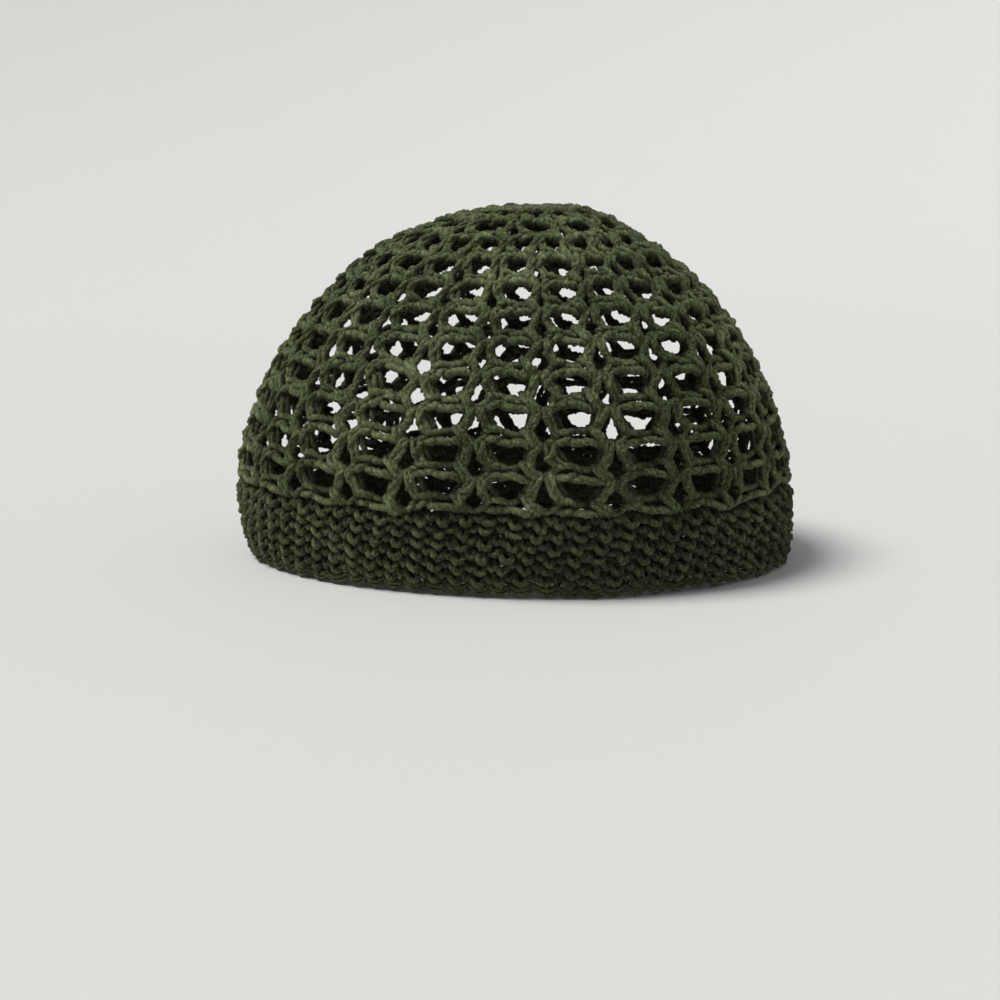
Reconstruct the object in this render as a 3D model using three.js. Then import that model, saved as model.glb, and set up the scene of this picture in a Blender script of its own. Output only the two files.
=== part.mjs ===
// Crochet beanie: an openwork crown worked from its centre down, a closed band and an edge round.
// Millimetres, +Z up. The rim stands on z = 0, the front faces -Y and the wearer's left is +X.
// The crown and the band are one knotted fabric, drawn here as plain walls of that fabric's thickness.
import * as THREE from 'three';
import { mergeVertices } from 'three/addons/utils/BufferGeometryUtils.js';

// Driving dimensions of the outer form.
const hatLength = 203.5; // front to back over the fullest round
const hatWidth = 160; // side to side over the fullest round
const hatHeight = 127.5; // rim plane to the top of the crown
const apexSetBack = 10; // the centre of the crown lies this far behind the middle of the hat

// Driving dimensions of the three stitch zones, each measured up from the zone below.
const edgeHeight = 3.4; // the last round of chain loops along the rim
const bandTop = 30; // the closed band ends here
const edgeWall = 4.2;
const bandWall = 4.8;
const crownWall = 4.4;
const zoneGap = 0.3; // clearance between neighbouring zones
const wallRound = 0.9; // how much the edge round's outer corners are eased

// Facets: one vertex every few degrees round the hat, one ring for each step up the wall.
const sidesRound = 60;
const bandRings = 4;
const crownRings = 16;
const mergeDistance = 1e-3; // corners this near are one corner
const differenceStep = 1e-3; // step along the form when its slope is measured
const halvings = 40; // halvings of the range when a height is looked up

// The outer form, one row for each section from the rim to the apex. Height is a share of hatHeight,
// front and back are shares of half of hatLength measured from the middle of the hat, and side is a
// share of half of hatWidth.
const sections = [
  { height: 0.000, front: 0.950, back: 0.985, side: 0.940 },
  { height: 0.078, front: 0.986, back: 0.997, side: 0.970 },
  { height: 0.173, front: 1.000, back: 1.000, side: 0.992 },
  { height: 0.282, front: 0.990, back: 0.985, side: 1.000 },
  { height: 0.392, front: 0.955, back: 0.955, side: 0.990 },
  { height: 0.502, front: 0.897, back: 0.902, side: 0.953 },
  { height: 0.612, front: 0.818, back: 0.826, side: 0.888 },
  { height: 0.714, front: 0.722, back: 0.735, side: 0.798 },
  { height: 0.808, front: 0.602, back: 0.626, side: 0.680 },
  { height: 0.886, front: 0.468, back: 0.508, side: 0.546 },
  { height: 0.945, front: 0.312, back: 0.384, side: 0.394 },
  { height: 0.985, front: 0.118, back: 0.248, side: 0.212 },
];
const apexShare = apexSetBack / (hatLength / 2);
const apex = { height: 1, front: -apexShare, back: apexShare, side: 0 };
// Past the apex the form comes down the other side, which keeps the top round and level.
const pastApex = mirrored(sections.at(-1));
const beforeRim = extended(sections[0], sections[1]);
const stations = [beforeRim, ...sections, apex, pastApex];
const lastStation = sections.length; // the apex, counted from the rim

function mirrored(row) {
  return {
    height: row.height,
    front: -2 * apexShare - row.front,
    back: 2 * apexShare - row.back,
    side: -row.side,
  };
}

function extended(first, second) {
  const row = {};
  for (const column of Object.keys(first)) row[column] = 2 * first[column] - second[column];
  return row;
}

// A smooth value between the table's rows: station 0 is the rim and lastStation is the apex.
function columnAt(column, station) {
  const row = Math.min(Math.floor(station), lastStation - 1);
  const t = station - row;
  const [a, b, c, d] = [0, 1, 2, 3].map((k) => stations[row + k][column]);
  return 0.5 * (2 * b + (c - a) * t + (2 * a - 5 * b + 4 * c - d) * t * t + (3 * (b - c) + d - a) * t ** 3);
}

// The station whose section lies at a given height, found by halving.
function stationAtHeight(height) {
  let [low, high] = [0, lastStation];
  for (let step = 0; step < halvings; step += 1) {
    const middle = (low + high) / 2;
    if (columnAt('height', middle) * hatHeight < height) low = middle;
    else high = middle;
  }
  return (low + high) / 2;
}

// A point of the outer form. Around runs from 0 at the front, by way of the wearer's left, to 1.
function outerPoint(station, around) {
  const angle = around * 2 * Math.PI;
  const reach = angle > Math.PI / 2 && angle < 1.5 * Math.PI
    ? columnAt('back', station) * hatLength / 2 - apexSetBack
    : columnAt('front', station) * hatLength / 2 + apexSetBack;
  return new THREE.Vector3(
    columnAt('side', station) * hatWidth / 2 * Math.sin(angle),
    apexSetBack - reach * Math.cos(angle),
    columnAt('height', station) * hatHeight,
  );
}

function outwardNormal(station, around) {
  const small = differenceStep;
  const up = outerPoint(Math.min(station + small, lastStation), around)
    .sub(outerPoint(Math.max(station - small, 0), around));
  const along = outerPoint(station, (around + small) % 1).sub(outerPoint(station, (around - small + 1) % 1));
  return along.cross(up).normalize();
}

// A point inside the wall, sunk square to the outer form. On a level cut the height is kept.
function wallPoint(station, around, sunk, level) {
  const point = outerPoint(station, around);
  const normal = outwardNormal(station, around);
  if (level) {
    normal.z = 0;
    normal.normalize();
  }
  return point.addScaledVector(normal, -sunk);
}

// A closed surface from rings of points: each neighbouring pair of rings is joined by a strip of facets.
function stripsGeometry(rings) {
  const positions = [];
  const quad = (a, b, c, d) => {
    for (const p of [a, b, c, a, c, d]) positions.push(p.x, p.y, p.z);
  };
  rings.forEach((ring, k) => {
    const next = rings[(k + 1) % rings.length];
    ring.forEach((p, i) => {
      const j = (i + 1) % ring.length;
      quad(p, ring[j], next[j], next[i]);
    });
  });
  return closedGeometry(positions);
}

// Facets that shrink to a line at the apex are dropped, and shared corners are merged.
function closedGeometry(positions) {
  const soup = new THREE.BufferGeometry();
  soup.setAttribute('position', new THREE.Float32BufferAttribute(positions, 3));
  const merged = mergeVertices(soup, mergeDistance);
  const index = merged.getIndex().array;
  const kept = [];
  for (let i = 0; i < index.length; i += 3) {
    const [a, b, c] = [index[i], index[i + 1], index[i + 2]];
    if (a !== b && b !== c && c !== a) kept.push(a, b, c);
  }
  merged.setIndex(kept);
  merged.computeVertexNormals();
  return merged;
}

function ringOf(station, sunk, level = false) {
  return Array.from({ length: sidesRound }, (_, i) => wallPoint(station, i / sidesRound, sunk, level));
}

// Steps from one station to another, both ends included.
function steps(from, to, count) {
  return Array.from({ length: count + 1 }, (_, i) => from + (to - from) * i / count);
}

// A ring-shaped zone between two heights, open at the top and bottom.
function wallZone(fromHeight, toHeight, wall, ringCount) {
  const [low, high] = [stationAtHeight(fromHeight), stationAtHeight(toHeight)];
  const climb = steps(low, high, ringCount);
  const outside = climb.map((station) => ringOf(station, 0));
  const inside = climb.toReversed().map((station) => ringOf(station, wall, true));
  return stripsGeometry([...outside, ...inside]);
}

// The edge round: a level foot on z = 0, with its outer corners eased.
function edgeGeometry() {
  const [foot, top] = [0, stationAtHeight(edgeHeight)];
  const eased = stationAtHeight(wallRound);
  const easedTop = stationAtHeight(edgeHeight - wallRound);
  return stripsGeometry([
    ringOf(foot, wallRound, true),
    ringOf(eased, 0),
    ringOf(easedTop, 0),
    ringOf(top, wallRound, true),
    ringOf(top, edgeWall - wallRound, true),
    ringOf(easedTop, edgeWall, true),
    ringOf(eased, edgeWall, true),
    ringOf(foot, edgeWall - wallRound, true),
  ]);
}

// The dome: an outer skin up to the apex and an inner skin back down, closed along its lower rim.
function crownGeometry() {
  const climb = steps(stationAtHeight(bandTop + zoneGap), lastStation, crownRings);
  const skin = (sunk) => climb.map((station, k) => {
    if (k === crownRings) return Array(sidesRound).fill(new THREE.Vector3(0, apexSetBack, hatHeight - sunk));
    return ringOf(station, sunk, k === 0);
  });
  return stripsGeometry([...skin(0), ...skin(crownWall).toReversed()]);
}

const yarnOlive = 0x39402a;
function yarn(shade) {
  const colour = new THREE.Color(yarnOlive).multiplyScalar(shade);
  return new THREE.MeshStandardMaterial({ color: colour, roughness: 0.9, metalness: 0 });
}

function piece(name, geometry, shade) {
  const mesh = new THREE.Mesh(geometry, yarn(shade));
  mesh.name = name;
  return mesh;
}

const beanie = new THREE.Group();
beanie.add(piece('rim_edge', edgeGeometry(), 0.9));
beanie.add(piece('band', wallZone(edgeHeight + zoneGap, bandTop, bandWall, bandRings), 0.95));
beanie.add(piece('crown', crownGeometry(), 1));

export default beanie;
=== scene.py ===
"""A crochet beanie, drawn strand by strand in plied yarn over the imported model's walls.

Lengths are in millimetres up to the meshes, which are in metres. A place on the fabric is its climb
up the side of the hat from the rim, its turn round the hat as a share of the round from the front by
way of the wearer's left, and w, the millimetres outward from the middle of the wall. A chart gives a
strand's points as u, v and w, with u and v in millimetres along and up from the stitch's own origin.
"""

import math

import bpy
import numpy as np
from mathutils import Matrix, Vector


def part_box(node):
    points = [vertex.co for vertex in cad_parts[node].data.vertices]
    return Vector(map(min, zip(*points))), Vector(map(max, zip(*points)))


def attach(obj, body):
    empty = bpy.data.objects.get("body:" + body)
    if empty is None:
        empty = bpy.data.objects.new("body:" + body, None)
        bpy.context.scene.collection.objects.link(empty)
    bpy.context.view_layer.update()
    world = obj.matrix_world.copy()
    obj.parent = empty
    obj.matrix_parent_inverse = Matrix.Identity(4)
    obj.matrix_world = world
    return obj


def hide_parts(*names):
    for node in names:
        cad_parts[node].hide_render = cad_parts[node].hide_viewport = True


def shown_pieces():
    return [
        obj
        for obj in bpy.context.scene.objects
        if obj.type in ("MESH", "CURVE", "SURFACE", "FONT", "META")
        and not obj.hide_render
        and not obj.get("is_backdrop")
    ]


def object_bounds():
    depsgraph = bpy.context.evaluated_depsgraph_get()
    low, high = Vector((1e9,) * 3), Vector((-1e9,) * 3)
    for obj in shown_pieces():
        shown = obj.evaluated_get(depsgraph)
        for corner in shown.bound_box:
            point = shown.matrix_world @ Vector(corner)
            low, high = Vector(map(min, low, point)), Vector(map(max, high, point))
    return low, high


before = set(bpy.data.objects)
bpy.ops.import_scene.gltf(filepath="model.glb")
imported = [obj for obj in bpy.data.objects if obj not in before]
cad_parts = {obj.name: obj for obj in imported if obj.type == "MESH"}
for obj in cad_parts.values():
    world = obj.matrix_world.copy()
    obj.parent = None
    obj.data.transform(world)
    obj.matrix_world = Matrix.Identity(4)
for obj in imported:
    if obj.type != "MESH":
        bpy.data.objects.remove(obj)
cad_low, cad_high = (Vector(corner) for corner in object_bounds())
SEED = 20
rng = np.random.default_rng(SEED)

MM = 0.001
TINY = 1e-12  # keeps a division by no length from failing

# The hat's size comes from the frame. These sizes of the fabric are the part's own.
HAT_WIDTH, HAT_LENGTH, HAT_HEIGHT = (cad_high - cad_low) / MM
APEX_SET_BACK = 10.0
BAND_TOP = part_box("band")[1][2] / MM
WALL = 4.6

# One row for each section of the outer form, from the rim to the apex, as shares of the hat's size.
HEIGHT, FRONT, BACK, SIDE = range(4)
SECTIONS = (
    (0.000, 0.950, 0.985, 0.940),
    (0.078, 0.986, 0.997, 0.970),
    (0.173, 1.000, 1.000, 0.992),
    (0.282, 0.990, 0.985, 1.000),
    (0.392, 0.955, 0.955, 0.990),
    (0.502, 0.897, 0.902, 0.953),
    (0.612, 0.818, 0.826, 0.888),
    (0.714, 0.722, 0.735, 0.798),
    (0.808, 0.602, 0.626, 0.680),
    (0.886, 0.468, 0.508, 0.546),
    (0.945, 0.312, 0.384, 0.394),
    (0.985, 0.118, 0.248, 0.212),
)
# How finely the form is looked up, and the step along it when its slope is measured.
STATION_STEPS = 600
TURN_STEPS = 360
ANGLE_STEPS = 720
SLOPE_STEP = 1e-3

# Yarn: three plies, so its outline has a crest and a valley for each.
PLIES = 3
YARN_SIDES = 2 * PLIES
CREST, VALLEY = 1.17, 0.95
PLY_LAY = 6.0  # length of one whole twist of the plies
FINE_STRANDS = 3  # in each ply
END_TAPER = 0.55
START_SPREAD = 40.0  # strands start anywhere in this length of twist

# A strand has a point every YARN_STEP. Its curve is first worked out with SPAN_STEPS points in each
# span of the chart.
YARN_STEP = 0.96
SPAN_STEPS = 24
FEWEST_POINTS = 3

# Unevenness of the yarn, as a spread and the most that is let through.
ROUGHNESS = (0.11, 0.26)
TONE = (0.22, 0.40)

# Unevenness of hand work. A strand wanders by itself, and the fabric wanders as a whole.
AXES = 3  # along, up and out of the fabric
LOOSE = 0.16
BAND_LOOSE = 0.22
EDGE_LOOSE = 0.05
NOISE_KNOTS = 4
OUT_SHARE = 0.6  # of any wander, outward
WANDER_WAVES = 14
WAVE_DIP = 3  # sets how much each wave of a wander also runs up the hat
BROAD_WANDER = {"amount": 0.55, "shortest": 22, "longest": 70}
FINE_WANDER = {"amount": 0.30, "shortest": 7, "longest": 16}
HELD_CLIMB = 14.0  # below this the fabric wanders less upward, and at the rim not at all
LEAST_WANDER_ROUND = 40.0  # shorter rounds near the apex wander as this one does

# How light reaches into the fabric, painted into the yarn's colour as shade. Yarn at the depth BURIED
# is painted the darkest, and a side that faces neither in nor out of the fabric is painted dim.
BURIED = -0.7
OUTER_REACH = 3.0
INNER_REACH = 2.0
BURIED_LIGHT = 0.20
CREASE_LIGHT = 0.42

# Crown.
COLUMNS = 24
V_ROUNDS = 9
CENTRE_COLUMNS = 12
CENTRE_ROUNDS = 2
ROUND_HEIGHT = 11.5
CHART_PITCH = 23.3  # the column width that the crown's charts are drawn for
COLUMN_PHASE = -0.33  # of a column, from the front to the first one
LEAST_ROUND = 1.0  # keeps a strand at the apex from turning round it
# A leg's middle starts LEG_START from its column's, at the chain that it hangs from, and then moves
# outward by LEG_SLANT of each millimetre down.
LEG_START = 2.0
LEG_SLANT = 0.5
LEG_NARROWING = 0.35  # the power of the column's own narrowing that a leg's strands follow
THIRD_POST_CLIMB = 84.0  # rounds that hang from lower than this have a third post in each leg
# Posts get slimmer and chains stouter up the crown, from the first climb to the second.
SLIM_CLIMBS, SLIM_SHARES = (60.0, 120.0), (1.0, 0.88)
STOUT_CLIMBS, STOUT_SHARES = (40.0, 110.0), (1.0, 1.12)
DOUBLE_CHAIN_CLIMB = 60.0  # chains above this have one more strand

# Closed centre: straight stitches of three strands, each with its own u and w.
CENTRE_STITCHES = 2 * CENTRE_COLUMNS
CENTRE_STRANDS = ((-0.9, 0.8), (0.9, 1.0), (0.0, -0.7))
CENTRE_RADIUS = 1.05
HEAD_GAP = 3.2  # from the head of a stitch to the apex
HEAD_TUCKS = ((1.2, -0.9), (1.5, 0.2))  # v over the head, and w
MIDDLE_SPREAD, MIDDLE_LIFT = 1.2, 0.2
FOOT_RISE = 1.5
FOOT_TUCK = (-0.5, -0.4)

# Band and edge round.
BAND_STITCHES = 72
BAND_ROUNDS = 6
BAND_ROW = 4.2  # the row height that the band's charts are drawn for
BAND_DRIFT = 0.13  # of a stitch, from one round to the next
BAND_FOOT = 4.3
BAND_HEADROOM = 1.6
EDGE_STITCHES = 72
EDGE_CLIMB = 1.95

# Each of these pieces has three rounds, which keeps it under 200,000 triangles.
ROUNDS_A_PIECE = 3
CROWN_PIECES = ("crown_lower", "crown_middle", "crown_upper")
BAND_PIECES = ("band_lower", "band_upper")


def curve(a, b, c, d, t):
    """A smooth curve from b to c, at the share t. It runs on smoothly into the spans beside it."""
    return 0.5 * (2 * b + (c - a) * t + (2 * a - 5 * b + 4 * c - d) * t * t + (3 * (b - c) + d - a) * t ** 3)


def unit(vectors):
    return vectors / np.maximum(np.linalg.norm(vectors, axis=-1, keepdims=True), TINY)


def lengths_along(places):
    """The length from the start of a path to each point. The points are along the last axis but one."""
    steps = np.linalg.norm(np.diff(places, axis=-2), axis=-1)
    start = np.zeros((*steps.shape[:-1], 1))
    return np.concatenate([start, np.cumsum(steps, axis=-1)], axis=-1)


class Form:
    """The hat's outer form, looked up by climb and turn. Its stations run from 0 at the rim to last."""

    def __init__(self):
        rows = np.array(SECTIONS)
        share = APEX_SET_BACK / (HAT_LENGTH / 2)
        below = 2 * rows[0] - rows[1]
        apex = np.array([1.0, -share, share, 0.0])
        top = rows[-1]
        past = np.array([top[HEIGHT], -2 * share - top[FRONT], 2 * share - top[BACK], -top[SIDE]])
        self.rows = np.vstack([below, rows, apex, past])
        self.last = len(rows)
        self.stations = np.linspace(0, self.last, STATION_STEPS + 1)
        self.turns = np.linspace(0, 1, TURN_STEPS + 1)
        sections = self.at(self.stations)
        side = sections[:, SIDE] * HAT_WIDTH / 2
        self.heights = sections[:, HEIGHT] * HAT_HEIGHT
        steps = np.hypot(np.diff(side), np.diff(self.heights))
        self.climbs = np.concatenate([[0.0], np.cumsum(steps)])
        self.angles, self.perimeters = self.rounds()

    def at(self, station):
        """The table's columns at a station, smoothed between its rows."""
        row = np.clip(np.floor(station).astype(int), 0, self.last - 1)
        share = (station - row)[..., None]
        return curve(*(self.rows[row + k] for k in range(4)), share)

    def section_point(self, station, angle):
        row = self.at(station)
        front = row[..., FRONT] * HAT_LENGTH / 2 + APEX_SET_BACK
        back = row[..., BACK] * HAT_LENGTH / 2 - APEX_SET_BACK
        reach = np.where(np.cos(angle) > 0, front, back)
        x = row[..., SIDE] * HAT_WIDTH / 2 * np.sin(angle)
        y = APEX_SET_BACK - reach * np.cos(angle)
        z = row[..., HEIGHT] * HAT_HEIGHT
        return np.stack(np.broadcast_arrays(x, y, z), axis=-1)

    def rounds(self):
        """For each station, the angles that share its round evenly by length, and the round's length."""
        angle = np.linspace(0, 2 * np.pi, ANGLE_STEPS + 1)
        lengths = lengths_along(self.section_point(self.stations[:, None], angle))
        perimeters = lengths[:, -1]
        shares = lengths / np.maximum(perimeters, TINY)[:, None]
        shares[-1] = shares[-2]  # the round at the apex has no length to share
        angles = np.array([np.interp(self.turns, share, angle) for share in shares])
        return angles, perimeters

    def station(self, climb):
        """Below the rim this is the rim's own station, and past the apex it is the apex's."""
        return np.interp(climb, self.climbs, self.stations)

    def perimeter(self, climb):
        return np.interp(climb, self.climbs, self.perimeters)

    def climb_at(self, height):
        return float(np.interp(height, self.heights, self.climbs))

    def angle(self, station, turn):
        """The angle of a turn, read from the table of angles in both directions."""
        row = station / self.last * STATION_STEPS
        column = (turn % 1.0) * TURN_STEPS
        r = np.minimum(row.astype(int), STATION_STEPS - 1)
        c = np.minimum(column.astype(int), TURN_STEPS - 1)
        p, q = row - r, column - c
        low = self.angles[r, c] * (1 - q) + self.angles[r, c + 1] * q
        high = self.angles[r + 1, c] * (1 - q) + self.angles[r + 1, c + 1] * q
        return low * (1 - p) + high * p

    def point(self, climb, turn, w):
        """Points w outward of the middle of the wall. Below the rim the form goes straight down."""
        station = self.station(climb)
        angle = self.angle(station, turn)
        ahead = self.section_point(station, angle + SLOPE_STEP)
        behind = self.section_point(station, angle - SLOPE_STEP)
        above = self.section_point(np.minimum(station + SLOPE_STEP, self.last), angle)
        below = self.section_point(np.maximum(station - SLOPE_STEP, 0), angle)
        normal = unit(np.cross(ahead - behind, above - below))
        place = self.section_point(station, angle) + normal * (w - WALL / 2)[..., None]
        place[..., 2] += np.minimum(climb, 0)
        return place


form = Form()
BAND_CLIMB = form.climb_at(BAND_TOP)
APEX_CLIMB = form.climbs[-1]


def uneven(spread, most, shape):
    """Seeded factors round 1. They differ from it by no more than most."""
    return 1 + np.clip(rng.normal(0, spread, shape), -most, most)


def smooth_path(chart):
    """Evenly stepped points on a smooth curve through the points of a chart."""
    points = np.asarray(chart, float)
    padded = np.vstack([2 * points[0] - points[1], points, 2 * points[-1] - points[-2]])
    share = np.linspace(0, 1, SPAN_STEPS, endpoint=False)[:, None]
    spans = [curve(*ends, share) for ends in zip(padded, padded[1:], padded[2:], padded[3:])]
    dense = np.vstack([*spans, points[-1:]])
    length = lengths_along(dense)
    count = max(FEWEST_POINTS, int(round(length[-1] / YARN_STEP)) + 1)
    even = np.linspace(0, length[-1], count)
    return np.stack([np.interp(even, length, axis) for axis in dense.T], axis=1)


def cross_axes(paths):
    """Two directions square to each path at each point, which turn as little as they can along it."""
    tangent = unit(np.gradient(paths, axis=1))
    nudge = 1e-6  # for a path that starts straight up
    side = np.cross(tangent[:, 0], [0.0, 0.0, 1.0]) + nudge
    sides = np.empty_like(paths)
    for k in range(paths.shape[1]):
        side = unit(side - tangent[:, k] * np.sum(side * tangent[:, k], axis=1, keepdims=True))
        sides[:, k] = side
    return sides, np.cross(tangent, sides)


def openness_of(w, spokes, ring, outward):
    """Painted shade for each vertex, from how open to light it is: less deep in the fabric, and less where
    the yarn turns sideways, times a random tone.
    """
    depth = w[:, :, None] + np.sum(spokes * outward, axis=3) - BURIED
    surfaced = np.clip(np.maximum(depth / OUTER_REACH, -depth / INNER_REACH), 0, 1)
    facing = np.abs(np.sum(ring * outward, axis=3))
    # Painted shade: buried yarn and sides that turn away are darkened, then a random tone is multiplied in.
    light = (BURIED_LIGHT + (1 - BURIED_LIGHT) * surfaced) * (CREASE_LIGHT + (1 - CREASE_LIGHT) * facing)
    return light * uneven(*TONE, light.shape)


def fill(items, key, values, kind):
    items.foreach_set(key, values.astype(kind).reshape(-1))


class Yarn:
    """Collects swept strands and turns them into one mesh."""

    def __init__(self):
        self.places, self.openness, self.quads, self.caps, self.uvs = [], [], [], [], []
        self.count = 0

    def sweep(self, paths, outward, w, radius):
        """paths is strands by points by xyz, all of one point count. Each becomes a closed tube.

        outward is the fabric's own normal at each point. With w it gives the painted shade of every vertex,
        from how open to light it is.
        """
        strands, points, _ = paths.shape
        sides, others = cross_axes(paths)
        length = lengths_along(paths) + rng.uniform(0, START_SPREAD, (strands, 1))
        side_angle = np.linspace(0, 2 * np.pi, YARN_SIDES, endpoint=False)
        angle = (side_angle + (length * 2 * np.pi / PLY_LAY)[:, :, None])[..., None]
        ring = np.cos(angle) * sides[:, :, None, :] + np.sin(angle) * others[:, :, None, :]
        profile = np.full(points, radius)
        profile[[0, -1]] *= END_TAPER
        lobes = np.where(np.arange(YARN_SIDES) % 2 == 0, CREST, VALLEY)
        rough = uneven(*ROUGHNESS, (strands, points, YARN_SIDES))
        spokes = ring * (rough * (profile[:, None] * lobes))[..., None]
        places = paths[:, :, None, :] + spokes
        self.places.append(places.reshape(-1, 3))
        self.openness.append(openness_of(w, spokes, ring, outward[:, :, None, :]).reshape(-1))
        self.add_faces(strands, points)
        self.add_map(length)

    def add_faces(self, strands, points):
        """The faces of the vertices just added: a strip of quads round each strand, and its two caps."""
        added = strands * points * YARN_SIDES
        vertex = self.count + np.arange(added).reshape(strands, points, YARN_SIDES)
        following = np.roll(vertex, -1, axis=2)
        quads = np.stack([vertex[:, :-1], following[:, :-1], following[:, 1:], vertex[:, 1:]], axis=-1)
        caps = np.stack([vertex[:, 0, ::-1], vertex[:, -1]], axis=1)
        self.quads.append(quads.reshape(-1, 4))
        self.caps.append(caps.reshape(-1, YARN_SIDES))
        self.count += added

    def add_map(self, length):
        """The quads' corners on the yarn's map: turns of the plies along, and share of the way round."""
        low, high = length[:, :-1], length[:, 1:]
        along = np.stack([low, low, high, high], axis=-1)[:, :, None, :] / PLY_LAY
        side = np.arange(YARN_SIDES)
        around = np.stack([side, side + 1, side + 1, side], axis=-1) / YARN_SIDES
        self.uvs.append(np.stack(np.broadcast_arrays(along, around), axis=-1).reshape(-1, 2))

    def mesh(self, name):
        """One smooth mesh of every strand, with its map and its painted shade and random tone in one
        attribute.
        """
        places = np.vstack(self.places) * MM
        quads, caps = np.vstack(self.quads), np.vstack(self.caps)
        corners = np.concatenate([quads.reshape(-1), caps.reshape(-1)])
        sizes = np.concatenate([np.full(len(quads), 4), np.full(len(caps), YARN_SIDES)])
        starts = np.concatenate([[0], np.cumsum(sizes)[:-1]])
        uvs = np.vstack([*self.uvs, np.zeros((caps.size, 2))])
        mesh = bpy.data.meshes.new(name)
        mesh.vertices.add(len(places))
        fill(mesh.vertices, "co", places, np.float32)
        mesh.loops.add(len(corners))
        fill(mesh.loops, "vertex_index", corners, np.int32)
        mesh.polygons.add(len(sizes))
        fill(mesh.polygons, "loop_start", starts, np.int32)
        fill(mesh.polygons, "use_smooth", np.ones(len(sizes)), bool)
        # This attribute carries the painted shade, times a random tone, into the yarn's colour.
        openness = mesh.attributes.new(name="openness", type="FLOAT", domain="POINT")
        fill(openness.data, "value", np.concatenate(self.openness), np.float32)
        fill(mesh.uv_layers.new(name="yarn").data, "uv", uvs, np.float32)
        mesh.update(calc_edges=True)
        mesh.validate()
        return mesh


class Wander:
    """A smooth seeded field over the fabric, the same for every strand that passes a place."""

    def __init__(self, amount, shortest, longest):
        self.waves = rng.uniform(2 * np.pi / longest, 2 * np.pi / shortest, WANDER_WAVES)
        self.headings = rng.uniform(0, 2 * np.pi, WANDER_WAVES)
        self.starts = rng.uniform(0, 2 * np.pi, WANDER_WAVES)
        self.amount = amount * math.sqrt(2 / WANDER_WAVES)

    def at(self, place):
        """place is points in millimetres on the hat, which leaves no seam where a round closes."""
        total = 0.0
        for wave, heading, start in zip(self.waves, self.headings, self.starts):
            across = place[..., 0] * math.cos(heading) + place[..., 1] * math.sin(heading)
            total = total + np.sin(wave * (across + place[..., 2] * math.cos(WAVE_DIP * heading)) + start)
        return total * self.amount


WANDERS = [(Wander(**BROAD_WANDER), Wander(**FINE_WANDER)) for _ in range(AXES)]


def by_hand(climb, turn, w):
    """Shifts a place along, up and out of the fabric, as uneven hand tension does. The rim stays level."""
    place = form.point(climb, turn, w)
    along, up, out = (broad.at(place) + fine.at(place) for broad, fine in WANDERS)
    held = np.clip(climb / HELD_CLIMB, 0.0, 1.0)
    turn = turn + along / np.maximum(form.perimeter(climb), LEAST_WANDER_ROUND)
    return climb + up * held, turn, w + out * OUT_SHARE


def smooth_noise(strands, points, amount):
    """Slow seeded wander along each strand, for u, v and w."""
    knots = rng.normal(0, amount, (AXES, strands, NOISE_KNOTS))
    where = np.linspace(0, NOISE_KNOTS - 1, points)
    low = np.minimum(where.astype(int), NOISE_KNOTS - 2)
    t = where - low
    t = t * t * (3 - 2 * t)
    return knots[:, :, low] * (1 - t) + knots[:, :, low + 1] * t


def leg_across(u, v, leg, scale):
    """u in a narrower column. The middle of a leg moves in with the column, and its strands less so."""
    middle = leg * (LEG_START + LEG_SLANT * np.maximum(-v, 0))
    return middle * scale + (u - middle) * scale ** LEG_NARROWING


def strands_at(yarn, radius, chart, climb, turns, columns=None, leg=None, loose=LOOSE):
    """Lays one chart's strand at each turn of a round.

    With columns the chart is as wide as a column is there, and leg says which leg of the V it is in.
    Without, it keeps its real width.
    """
    path = smooth_path(chart)
    wobble = smooth_noise(len(turns), len(path), loose)
    u, v, w = path.T[:, None, :] + wobble * np.array((1.0, 1.0, OUT_SHARE))[:, None, None]
    at = climb + v
    round_length = form.perimeter(at)
    scale = round_length / columns / CHART_PITCH if columns else 1.0
    across = leg_across(u, v, leg, scale) if leg else u * scale
    turn = turns[:, None] + across / np.maximum(round_length, LEAST_ROUND)
    at, turn, w = by_hand(at, turn, w)
    paths = form.point(at, turn, w)
    outward = form.point(at, turn, w + 1.0) - paths  # one millimetre long
    yarn.sweep(paths, outward, w, radius)


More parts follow.
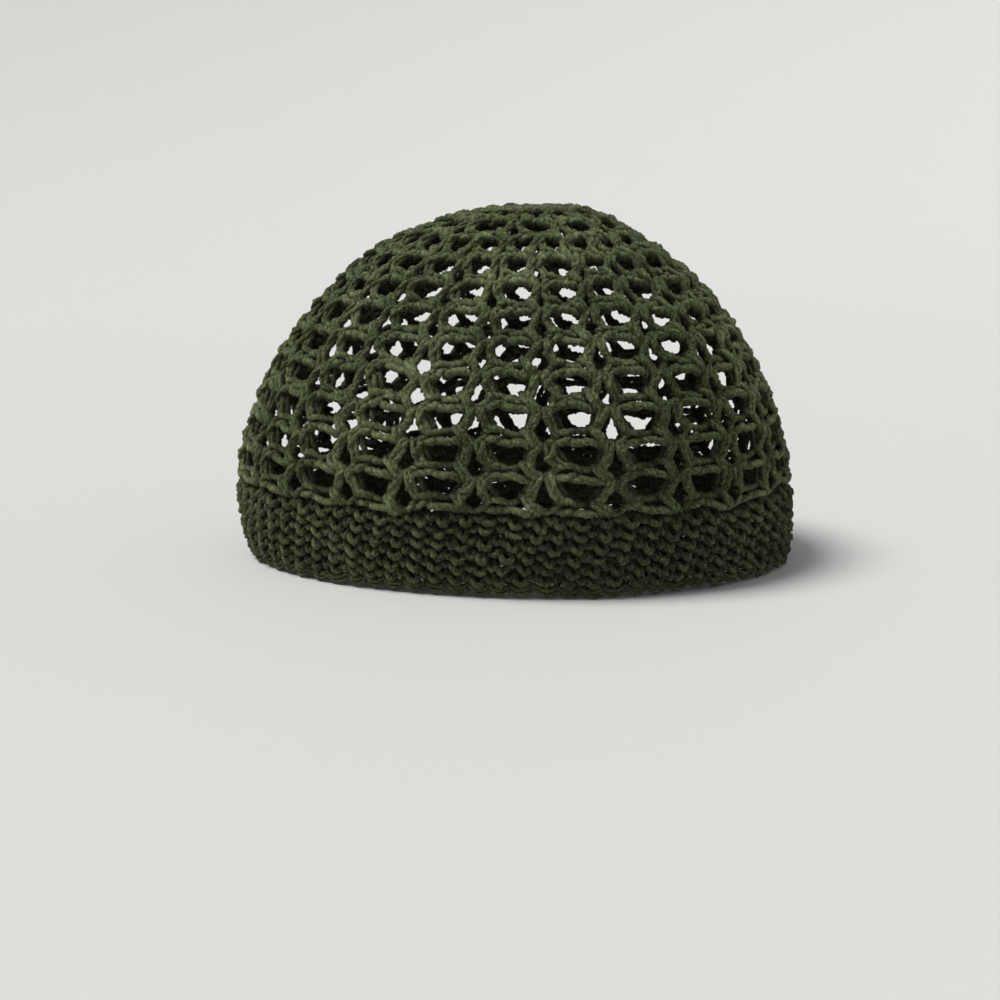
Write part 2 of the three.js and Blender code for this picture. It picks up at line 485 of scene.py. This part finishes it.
# Charts of the V-stitch, down from the chain that it hangs from at v = 0. Before the points of each
# strand stands its radius.
RIGHT, LEFT = 1, -1
POSTS = (
    (RIGHT, 1.05, (
        (0.5, -2.0, -1.6), (0.5, -0.6, -1.8), (0.5, 0.3, -0.9), (0.5, 0.6, 0.5),
        (0.6, -0.5, 1.4), (1.0, -1.8, 1.7), (1.6, -3.2, 1.6), (2.4, -4.7, 1.6),
        (3.2, -6.1, 1.5), (4.0, -7.4, 1.2), (4.6, -8.6, 0.6), (5.0, -9.6, -0.5),
    )),
    (RIGHT, 1.05, (
        (2.0, -1.3, -1.4), (2.0, 0.3, -1.3), (2.0, 1.1, 0.0), (2.1, 0.8, 1.1),
        (2.4, -0.6, 1.5), (3.0, -2.3, 1.3), (3.8, -4.1, 1.2), (4.7, -5.9, 1.1),
        (5.5, -7.4, 0.8), (6.2, -8.7, -0.1),
    )),
    (RIGHT, 0.88, (
        (3.7, 0.9, -0.9), (3.6, 0.8, 0.5), (3.4, -0.4, 1.8), (3.0, -1.9, 2.6),
        (2.4, -3.2, 2.7), (1.8, -4.4, 2.2), (1.4, -5.2, 0.9),
    )),
    (LEFT, 1.05, (
        (-0.9, -2.0, -1.6), (-0.9, -0.6, -1.8), (-0.9, 0.2, -0.9), (-0.9, 0.5, 0.5),
        (-1.0, -0.7, 1.4), (-1.6, -2.3, 1.6), (-2.4, -4.1, 1.5), (-3.3, -5.8, 1.4),
        (-4.1, -7.2, 1.1), (-4.6, -8.4, 0.5), (-4.9, -9.4, -0.5),
    )),
    (LEFT, 1.05, (
        (-2.4, -1.3, -1.4), (-2.4, 0.3, -1.3), (-2.4, 0.9, 0.0), (-2.5, 0.6, 1.0),
        (-2.8, -0.8, 1.5), (-3.4, -2.6, 1.4), (-4.2, -4.4, 1.3), (-5.1, -6.1, 1.1),
        (-5.9, -7.5, 0.7), (-6.5, -8.7, -0.2),
    )),
    (LEFT, 0.88, (
        (-0.4, 0.2, 0.9), (-1.1, -1.0, 2.2), (-2.1, -2.5, 2.7), (-3.2, -3.9, 2.4),
        (-4.4, -5.1, 1.5), (-5.3, -5.8, 0.2),
    )),
)
THIRD_POSTS = (
    (RIGHT, 1.00, (
        (3.5, 0.8, -1.3), (4.0, -0.8, -0.5), (4.7, -2.4, -0.2), (5.5, -4.0, -0.2),
        (6.3, -5.6, -0.3), (6.9, -7.2, -0.6), (7.3, -8.8, -1.1),
    )),
    (LEFT, 1.00, (
        (-3.8, 0.6, -1.4), (-4.3, -1.2, -0.6), (-5.0, -3.0, -0.3), (-5.9, -4.8, -0.3),
        (-6.8, -6.4, -0.5), (-7.4, -8.2, -1.1),
    )),
)
# Charts of the chain between one round and the next. v = 0 is where the next round's stitches wrap it.
CHAINS = (
    (1.22, (
        (2.6, -0.2, -1.1), (3.7, 0.2, 0.4), (5.2, 0.5, 1.3), (6.6, 0.9, 1.7),
        (8.0, 1.3, 1.4), (9.1, 1.5, 0.3), (10.0, 1.2, -0.8), (11.0, 0.7, -1.5),
    )),
    (1.28, (
        (7.4, 0.3, -1.2), (8.6, 0.5, 0.0), (10.1, 0.5, 1.2), (12.0, 0.35, 1.8),
        (14.0, 0.15, 1.9), (16.0, 0.0, 1.7), (17.8, -0.3, 1.1), (19.2, -0.7, 0.1),
        (20.4, -1.1, -0.9),
    )),
    (1.18, (
        (2.6, 3.0, -1.1), (3.6, 3.5, 0.5), (5.0, 3.8, 1.3), (6.6, 3.7, 1.3),
        (8.0, 3.6, 0.9), (9.2, 3.5, 0.3), (11.0, 3.4, 0.0), (13.0, 3.4, 0.0),
        (15.2, 3.6, -0.4), (17.0, 3.6, -1.4),
    )),
    (1.15, (
        (15.6, 5.3, -1.0), (15.9, 4.8, 0.3), (16.6, 3.8, 1.5), (17.6, 2.6, 2.0),
        (18.8, 1.3, 2.0), (20.0, 0.1, 1.5), (21.0, -0.9, 0.4), (21.5, -1.6, -0.9),
    )),
    (1.02, (
        (17.2, 6.0, -0.9), (17.6, 5.2, 0.6), (18.5, 3.9, 1.6), (19.7, 2.5, 1.8),
        (20.9, 1.2, 1.4), (21.9, 0.1, 0.3), (22.4, -0.7, -0.8),
    )),
    (1.05, ((3.2, 1.7, -1.5), (5.0, 1.8, -1.4), (7.0, 2.0, -1.3), (8.8, 2.0, -1.5))),
    (1.05, ((16.4, 1.9, -1.4), (17.6, 1.3, -1.2), (19.0, 0.6, -1.3), (20.6, 0.6, -1.5))),
)
CHAIN_LINK = (
    (1.10, (
        (-5.2, 3.2, -0.9), (-3.9, 2.2, 0.6), (-2.2, 0.9, 1.1), (0.0, -0.6, 0.5),
        (2.2, 0.9, 1.1), (3.9, 2.2, 0.6), (5.2, 3.2, -0.9),
    )),
    (0.95, (
        (-4.4, 1.4, -1.2), (-2.2, -0.4, -1.0), (0.0, -1.1, -1.1), (2.2, -0.4, -1.0),
        (4.4, 1.4, -1.2),
    )),
)
CHAIN_DOUBLE = (
    (1.20, (
        (8.6, 2.3, -1.2), (10.0, 2.6, 0.1), (11.6, 2.6, 0.9), (13.4, 2.5, 1.0),
        (15.0, 2.4, 0.6), (16.2, 2.2, -0.4),
    )),
)
# Charts of a band stitch, from the foot of its loop, at the stitch's real size.
BAND_STITCH = (
    (1.14, (
        (-2.5, 3.4, -1.2), (-2.2, 2.7, 0.4), (-1.5, 1.7, 1.6), (-0.6, 0.8, 2.1),
        (0.3, 0.5, 2.1), (1.1, 1.0, 1.7), (1.5, 1.9, 0.8), (1.6, 2.8, -0.9),
    )),
    (1.04, (
        (2.7, 4.1, -1.2), (2.9, 3.3, 0.4), (3.5, 2.5, 1.5), (4.3, 2.2, 1.7),
        (5.0, 2.7, 1.1), (5.2, 3.5, 0.1), (5.2, 4.1, -1.1),
    )),
)
BAND_CORE = (
    (1.25, (
        (-4.3, 1.1, -1.5), (-2.0, 0.8, -1.1), (0.0, 0.6, -1.4), (2.0, 0.8, -1.7),
        (4.3, 1.1, -1.5),
    )),
    (1.25, (
        (-4.3, 3.2, -1.3), (-2.0, 3.0, -1.7), (0.0, 2.8, -1.3), (2.0, 3.0, -1.0),
        (4.3, 3.2, -1.3),
    )),
)
# Charts of the edge round's loops, from the middle of a loop.
EDGE_LOOPS = (
    (0.76, (
        (-4.5, 2.2, -0.6), (-4.1, 1.5, 0.6), (-2.8, 0.4, 1.8), (-1.2, -0.4, 2.1),
        (0.4, -0.5, 2.1), (2.1, -0.1, 1.9), (3.5, 0.8, 1.2), (4.3, 1.9, -0.2),
    )),
    (0.76, (
        (-4.7, 3.1, -0.8), (-4.1, 2.5, 0.6), (-2.8, 1.6, 1.6), (-1.2, 1.0, 1.9),
        (0.4, 1.0, 1.9), (2.1, 1.4, 1.6), (3.5, 2.2, 0.9), (4.3, 3.1, -0.6),
    )),
    (0.74, (
        (-4.4, 1.9, -0.5), (-3.0, 0.6, -1.1), (-0.6, 0.0, -1.5), (1.8, 0.3, -1.4),
        (3.8, 1.3, -0.9), (4.4, 2.0, -0.5),
    )),
)


def column_turns(columns, shift=0.0):
    """The turn of each column of a round. Shift is in columns."""
    return (np.arange(columns) + shift) / columns + COLUMN_PHASE / COLUMNS


def raised(chart, rise):
    """The same chart, taller or lower by a factor."""
    return [(u, v * rise, w) for u, v, w in chart]


def v_round(yarn, top, columns):
    """V-stitches that hang from the chain at climb top, with the next chain along their lower ends."""
    posts = POSTS + THIRD_POSTS if top < THIRD_POST_CLIMB else POSTS
    slim = np.interp(top, SLIM_CLIMBS, SLIM_SHARES)
    for leg, radius, chart in posts:
        strands_at(yarn, radius * slim, chart, top, column_turns(columns), columns, leg)
    chain_round(yarn, top - ROUND_HEIGHT, columns)


def chain_round(yarn, climb, columns):
    """The chain is stouter towards the top of the hat."""
    strands = CHAINS + CHAIN_LINK
    if climb > DOUBLE_CHAIN_CLIMB:
        strands += CHAIN_DOUBLE
    stout = np.interp(climb, STOUT_CLIMBS, STOUT_SHARES)
    for radius, chart in strands:
        strands_at(yarn, radius * stout, raised(chart, stout), climb, column_turns(columns), columns)


def centre_round(yarn, foot):
    """The closed centre: straight stitches that close up round the apex, on the innermost chain."""
    head = APEX_CLIMB - HEAD_GAP - foot
    for u, w in CENTRE_STRANDS:
        chart = [(u, head + over, tuck) for over, tuck in HEAD_TUCKS]
        chart.append((u, head, w))
        chart.append((u * MIDDLE_SPREAD, head / 2, w + MIDDLE_LIFT))
        chart.append((u, FOOT_RISE, w))
        chart.append((u, *FOOT_TUCK))
        strands_at(yarn, CENTRE_RADIUS, chart, foot, column_turns(CENTRE_STITCHES))
    chain_round(yarn, foot, CENTRE_COLUMNS)


def band_round(yarn, foot, rise, drift):
    """A round of close stitches over a round of hidden yarn. rise is its height over the chart's."""
    for radius, chart in BAND_STITCH + BAND_CORE:
        turns = column_turns(BAND_STITCHES, drift)
        strands_at(yarn, radius, raised(chart, rise), foot, turns, loose=BAND_LOOSE)


def add_piece(name, yarn, nodes, material):
    piece = bpy.data.objects.new(name, yarn.mesh(name))
    bpy.context.scene.collection.objects.link(piece)
    piece.data.materials.append(material)
    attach(piece, "root")
    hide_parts(*nodes)


class Nodes:
    """Short names for building a material's node tree."""

    def __init__(self, name):
        self.material = bpy.data.materials.new(name)
        self.material.use_nodes = True
        self.tree = self.material.node_tree
        self.tree.nodes.clear()

    def add(self, kind, settings=None, **inputs):
        """A node with its inputs set or linked. Each goes by its name, or by _ and its number."""
        node = self.tree.nodes.new("ShaderNode" + kind)
        for key, value in (settings or {}).items():
            setattr(node, key, value)
        for key, value in inputs.items():
            socket = node.inputs[int(key[1:])] if key[0] == "_" else node.inputs[key.replace("_", " ")]
            if isinstance(value, bpy.types.NodeSocket):
                self.tree.links.new(value, socket)
            else:
                socket.default_value = value
        return node

    def math(self, operation, first, second=0.0):
        return self.add("Math", {"operation": operation}, _0=first, _1=second).outputs[0]

    def noise(self, vector, **inputs):
        return self.add("TexNoise", Vector=vector, **inputs).outputs[0]

    def wave(self, share, count):
        """A wave between 0 and 1 that has its crest where count times the share is whole."""
        cosine = self.math("COSINE", self.math("MULTIPLY", share, 2 * math.pi * count))
        return self.math("ADD", self.math("MULTIPLY", cosine, 0.5), 0.5)

    def weighted(self, *terms, start=0.0):
        """A start value plus each socket times its weight."""
        total = start
        for socket, weight in terms:
            total = self.math("ADD", self.math("MULTIPLY", socket, weight), total)
        return total

    def clamp(self, value, most=1.0):
        return self.add("Clamp", Value=value, Min=0.0, Max=most).outputs[0]

    def blend(self, share, first, second):
        """A colour between two. A Mix node has its colours at inputs 6 and 7, and at output 2."""
        node = self.add("Mix", {"data_type": "RGBA"}, _0=share, _6=first, _7=second)
        return node.outputs[2]

    def finish(self, **inputs):
        """Ends the tree with a surface that has these inputs, and returns the material."""
        surface = self.add("BsdfPrincipled", **inputs)
        self.add("OutputMaterial", Surface=surface.outputs[0])
        return self.material


OLIVE_DEEP_AND_GROOVE_SHADE = (0.012, 0.016, 0.006, 1)
OLIVE = (0.084, 0.111, 0.041, 1)
OLIVE_MOSS = (0.097, 0.131, 0.032, 1)
OLIVE_WORN_AND_HIGHLIGHT = (0.232, 0.272, 0.130, 1)
SHEEN_TINT = (0.55, 0.64, 0.36, 1)
# Painted shade: the one yarn is darkened by these factors on each part, the band and its edge most, where
# they lie in shade.
CROWN_PAINTED_SHADE, BAND_PAINTED_SHADE, EDGE_PAINTED_SHADE = 0.93, 0.62, 0.70

# Noises of the yarn. The fibres run along the yarn's own map, and the others through the hat in metres.
FIBRES_AROUND, FIBRES_SLANT, FIBRES_ALONG = 20.0, 12.0, 5.0
FIBRE = {"Scale": 1.6, "Detail": 2.0, "Roughness": 0.6}
PATCHES = {"Scale": 25.0, "Detail": 3.0}
BLOOM = {"Scale": 1200.0, "Detail": 2.5, "Roughness": 0.75}
MOSS = {"Scale": 17.0, "Detail": 2.0}

# How much each pattern adds to the bumps and to the tone, which runs from deep olive at 0 to olive at 1.
BUMP_TWIST, BUMP_FIBRE, BUMP_BLOOM = 0.5, 1.4, 0.7
BUMP_DEPTH = 0.36
TONE_START = -1.5
# In the tone, the crest and twist waves are painted shade in the grooves between plies and strands, and the
# fibre and bloom noises are random tone.
TONE_CREST, TONE_FIBRE, TONE_TWIST, TONE_BLOOM = 0.6, 1.3, 0.25, 1.8

# Moss spreads where its noise passes from the first to the second level, up to this share.
MOSS_FROM, MOSS_TO, MOSS_MOST = 0.45, 0.65, 0.8

# Wear shows where a noise is over its level, times a weight, and more where the yarn is open to light, which
# paints a highlight on the open crests.
WORN_PATCHES_LEVEL, WORN_PATCHES = 0.42, 1.3
WORN_BLOOM_LEVEL, WORN_BLOOM = 0.38, 1.5
WORN_HIGHLIGHT_GAIN = 1.35
WORN_MOST = 0.85


def yarn_base(n, crest, twist, fibre, bloom, place):
    """The clean yarn's colour: painted shade in the grooves between plies, random tone, and mossy in broad
    patches.
    """
    # Painted shade: the crest and twist waves darken the grooves towards deep olive.
    shares = ((crest, TONE_CREST), (fibre, TONE_FIBRE), (twist, TONE_TWIST), (bloom, TONE_BLOOM))
    tone = n.clamp(n.weighted(*shares, start=TONE_START))
    levels = {"From_Min": MOSS_FROM, "From_Max": MOSS_TO, "To_Min": 0.0, "To_Max": MOSS_MOST}
    moss = n.add("MapRange", Value=n.noise(place, **MOSS), **levels).outputs[0]
    return n.blend(tone, OLIVE_DEEP_AND_GROOVE_SHADE, n.blend(moss, OLIVE, OLIVE_MOSS))


def yarn_wear_and_highlight(n, openness, bloom, place):
    """The share of pale wear and painted highlight: worn patches and bloom, made stronger where the yarn is
    open to light.
    """
    patches = n.noise(place, **PATCHES)
    start = -WORN_PATCHES_LEVEL * WORN_PATCHES - WORN_BLOOM_LEVEL * WORN_BLOOM
    worn_and_highlight = n.weighted((patches, WORN_PATCHES), (bloom, WORN_BLOOM), start=start)
    # Painted highlight: the wear is multiplied by the painted light, so open crests come out paler.
    worn_and_highlight = n.math("MULTIPLY", worn_and_highlight, n.math("MULTIPLY", openness, WORN_HIGHLIGHT_GAIN))
    return n.clamp(worn_and_highlight, WORN_MOST)


def yarn_material(name, painted_shade):
    """Matte plied cotton: fine fibres along each ply, painted shade in the grooves and deep in the fabric,
    and a soft worn bloom with painted highlights on open yarn.
    """
    n = Nodes(name)
    uv = n.add("SeparateXYZ", Vector=n.add("UVMap", {"uv_map": "yarn"}).outputs[0])
    along, around = uv.outputs[0], uv.outputs[1]
    place = n.add("NewGeometry").outputs["Position"]
    openness = n.add("Attribute", {"attribute_name": "openness"}).outputs["Fac"]
    crest = n.wave(around, PLIES)
    twist = n.wave(around, PLIES * FINE_STRANDS)
    lay = n.weighted((along, FIBRES_SLANT), (around, FIBRES_AROUND))
    fibre_at = n.add("CombineXYZ", X=lay, Y=n.math("MULTIPLY", along, FIBRES_ALONG), Z=0.0)
    fibre = n.noise(fibre_at.outputs[0], **FIBRE)
    bloom = n.noise(place, **BLOOM)
    height = n.weighted((twist, BUMP_TWIST), (fibre, BUMP_FIBRE), (bloom, BUMP_BLOOM))
    bump = n.add("Bump", Strength=1.0, Distance=BUMP_DEPTH * MM, Height=height)
    base = yarn_base(n, crest, twist, fibre, bloom, place)
    # Pale wear, with a painted highlight on open yarn.
    colour = n.blend(yarn_wear_and_highlight(n, openness, bloom, place), base, OLIVE_WORN_AND_HIGHLIGHT)
    # Painted shade: the colour's value is scaled by each vertex's painted light and by the part's painted
    # shade factor.
    shaded = n.add("HueSaturation", Color=colour, Value=n.math("MULTIPLY", openness, painted_shade))
    return n.finish(
        Base_Color=shaded.outputs[0],
        Roughness=0.9,
        Normal=bump.outputs[0],
        Specular_IOR_Level=0.2,
        Sheen_Weight=0.22,
        Sheen_Roughness=0.45,
        Sheen_Tint=SHEEN_TINT,
    )


def floor_material():
    pale_grey = (0.57, 0.57, 0.57, 1)
    n = Nodes("pale_floor")
    place = n.add("NewGeometry").outputs["Position"]
    grain = n.noise(place, Scale=60.0, Detail=4.0)
    bump = n.add("Bump", Strength=0.05, Distance=MM, Height=grain)
    return n.finish(Base_Color=pale_grey, Roughness=0.75, Normal=bump.outputs[0])


def in_pieces(names, rounds):
    """Each piece's name with its own run of rounds."""
    return [(name, rounds[k * ROUNDS_A_PIECE:(k + 1) * ROUNDS_A_PIECE]) for k, name in enumerate(names)]


def build_crown():
    """V-stitch rounds in three pieces, and the narrow rounds and the closed centre in a fourth."""
    material = yarn_material("crown_yarn", CROWN_PAINTED_SHADE)
    tops = [BAND_CLIMB + ROUND_HEIGHT * (k + 1) for k in range(V_ROUNDS + CENTRE_ROUNDS)]
    for name, wide_tops in in_pieces(CROWN_PIECES, tops[:V_ROUNDS]):
        yarn = Yarn()
        for top in wide_tops:
            v_round(yarn, top, COLUMNS)
        add_piece(name, yarn, ("crown",), material)
    yarn = Yarn()
    for top in tops[V_ROUNDS:]:
        v_round(yarn, top, CENTRE_COLUMNS)
    centre_round(yarn, tops[-1])
    add_piece("crown_centre", yarn, ("crown",), material)


def build_band():
    material = yarn_material("band_yarn", BAND_PAINTED_SHADE)
    row = (BAND_CLIMB - BAND_HEADROOM - BAND_FOOT) / BAND_ROUNDS
    for name, rounds in in_pieces(BAND_PIECES, range(BAND_ROUNDS)):
        yarn = Yarn()
        for k in rounds:
            band_round(yarn, BAND_FOOT + row * k, row / BAND_ROW, BAND_DRIFT * k)
        add_piece(name, yarn, ("band",), material)


def build_edge():
    yarn = Yarn()
    for radius, chart in EDGE_LOOPS:
        strands_at(yarn, radius, chart, EDGE_CLIMB, column_turns(EDGE_STITCHES), loose=EDGE_LOOSE)
    add_piece("rim_edge_loops", yarn, ("rim_edge",), yarn_material("edge_yarn", EDGE_PAINTED_SHADE))


# The floor, in metres: level to FLOOR_LEVEL from the middle, then bent upward in an even curve.
FLOOR_INNER_RINGS = (0.02, 0.5)
FLOOR_LEVEL = 1.0
FLOOR_BEND = 2.4
FLOOR_BEND_STEPS = 20
FLOOR_SIDES = 96


def build_floor():
    """A round pale floor that curves up far out on every side."""
    rings = [(radius, 0.0) for radius in (*FLOOR_INNER_RINGS, FLOOR_LEVEL)]
    for k in range(1, FLOOR_BEND_STEPS + 1):
        angle = math.pi / 2 * k / FLOOR_BEND_STEPS
        rings.append((FLOOR_LEVEL + FLOOR_BEND * math.sin(angle), FLOOR_BEND * (1 - math.cos(angle))))
    angles = [2 * math.pi * i / FLOOR_SIDES for i in range(FLOOR_SIDES)]
    sides = [(i, (i + 1) % FLOOR_SIDES) for i in range(FLOOR_SIDES)]
    places = [(0.0, 0.0, 0.0)]
    for r, z in rings:
        places += [(r * math.cos(angle), r * math.sin(angle), z) for angle in angles]
    faces = [(0, 1 + i, 1 + j) for i, j in sides]
    for k in range(len(rings) - 1):
        a, b = 1 + k * FLOOR_SIDES, 1 + (k + 1) * FLOOR_SIDES
        faces += [(a + i, b + i, b + j, a + j) for i, j in sides]
    mesh = bpy.data.meshes.new("floor")
    mesh.from_pydata(places, [], faces)
    mesh.polygons.foreach_set("use_smooth", [True] * len(mesh.polygons))
    mesh.materials.append(floor_material())
    floor = bpy.data.objects.new("floor", mesh)
    bpy.context.scene.collection.objects.link(floor)
    floor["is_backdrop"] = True


# The key light is a broad soft one that travels back, down and a little to the hat's right.
KEY_ENERGY = 3.3
KEY_ANGLE = math.radians(26)
KEY_COLOUR = (1.0, 0.985, 0.95)
KEY_DIRECTION = Vector((-0.26, 1.0, -2.1))
STUDIO_COLOUR = (0.95, 0.97, 1.0, 1)
STUDIO_STRENGTH = 0.30


def build_lights():
    """One broad soft light from the front and above, and an even pale studio round it."""
    data = bpy.data.lights.new("key", "SUN")
    data.energy = KEY_ENERGY
    data.angle = KEY_ANGLE
    data.color = KEY_COLOUR
    key = bpy.data.objects.new("key", data)
    key.rotation_mode = "QUATERNION"
    key.rotation_quaternion = KEY_DIRECTION.to_track_quat("-Z", "Y")
    bpy.context.scene.collection.objects.link(key)
    world = bpy.data.worlds.new("studio")
    world.use_nodes = True
    background = world.node_tree.nodes["Background"]
    background.inputs["Color"].default_value = STUDIO_COLOUR
    background.inputs["Strength"].default_value = STUDIO_STRENGTH
    bpy.context.scene.world = world
    bpy.context.scene.view_settings.view_transform = "Standard"


# The photograph's view of the hat, levelled: where the camera stands and how long its lens is.
# AIM is the point of the hat that falls on AIM_PIXEL. The sensor's width is in millimetres, and the
# camera's other lengths are in metres.
AZIMUTH = math.radians(94.8)
ELEVATION = math.radians(7.9)
DISTANCE = 0.705
FOCAL_PIXELS = 1918.0
IMAGE_PIXELS = 1000.0
AIM = Vector((0, 2.65, 55)) * MM
AIM_PIXEL = (520.5, 404.5)
SENSOR_WIDTH = 36.0
CLIP_START, CLIP_END = 0.05, 20


def build_camera():
    level = math.cos(ELEVATION)
    back = Vector((math.sin(AZIMUTH) * level, -math.cos(AZIMUTH) * level, math.sin(ELEVATION)))
    right = Vector((0, 0, 1)).cross(back).normalized()
    up = back.cross(right)
    per_pixel = DISTANCE / FOCAL_PIXELS
    off_right = (IMAGE_PIXELS / 2 - AIM_PIXEL[0]) * per_pixel
    off_up = (AIM_PIXEL[1] - IMAGE_PIXELS / 2) * per_pixel
    target = AIM + right * off_right + up * off_up
    data = bpy.data.cameras.new("camera")
    data.sensor_width = SENSOR_WIDTH
    data.lens = FOCAL_PIXELS / IMAGE_PIXELS * SENSOR_WIDTH
    data.clip_start, data.clip_end = CLIP_START, CLIP_END
    camera = bpy.data.objects.new("camera", data)
    camera.location = AIM + back * DISTANCE
    camera.rotation_mode = "QUATERNION"
    camera.rotation_quaternion = (target - camera.location).to_track_quat("-Z", "Y")
    bpy.context.scene.collection.objects.link(camera)
    bpy.context.scene.camera = camera


build_camera()
build_lights()
build_floor()
build_crown()
build_band()
build_edge()

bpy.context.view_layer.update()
triangles = {o.name: sum(len(p.vertices) - 2 for p in o.data.polygons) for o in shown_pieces()}
print("triangles", triangles, sum(triangles.values()))
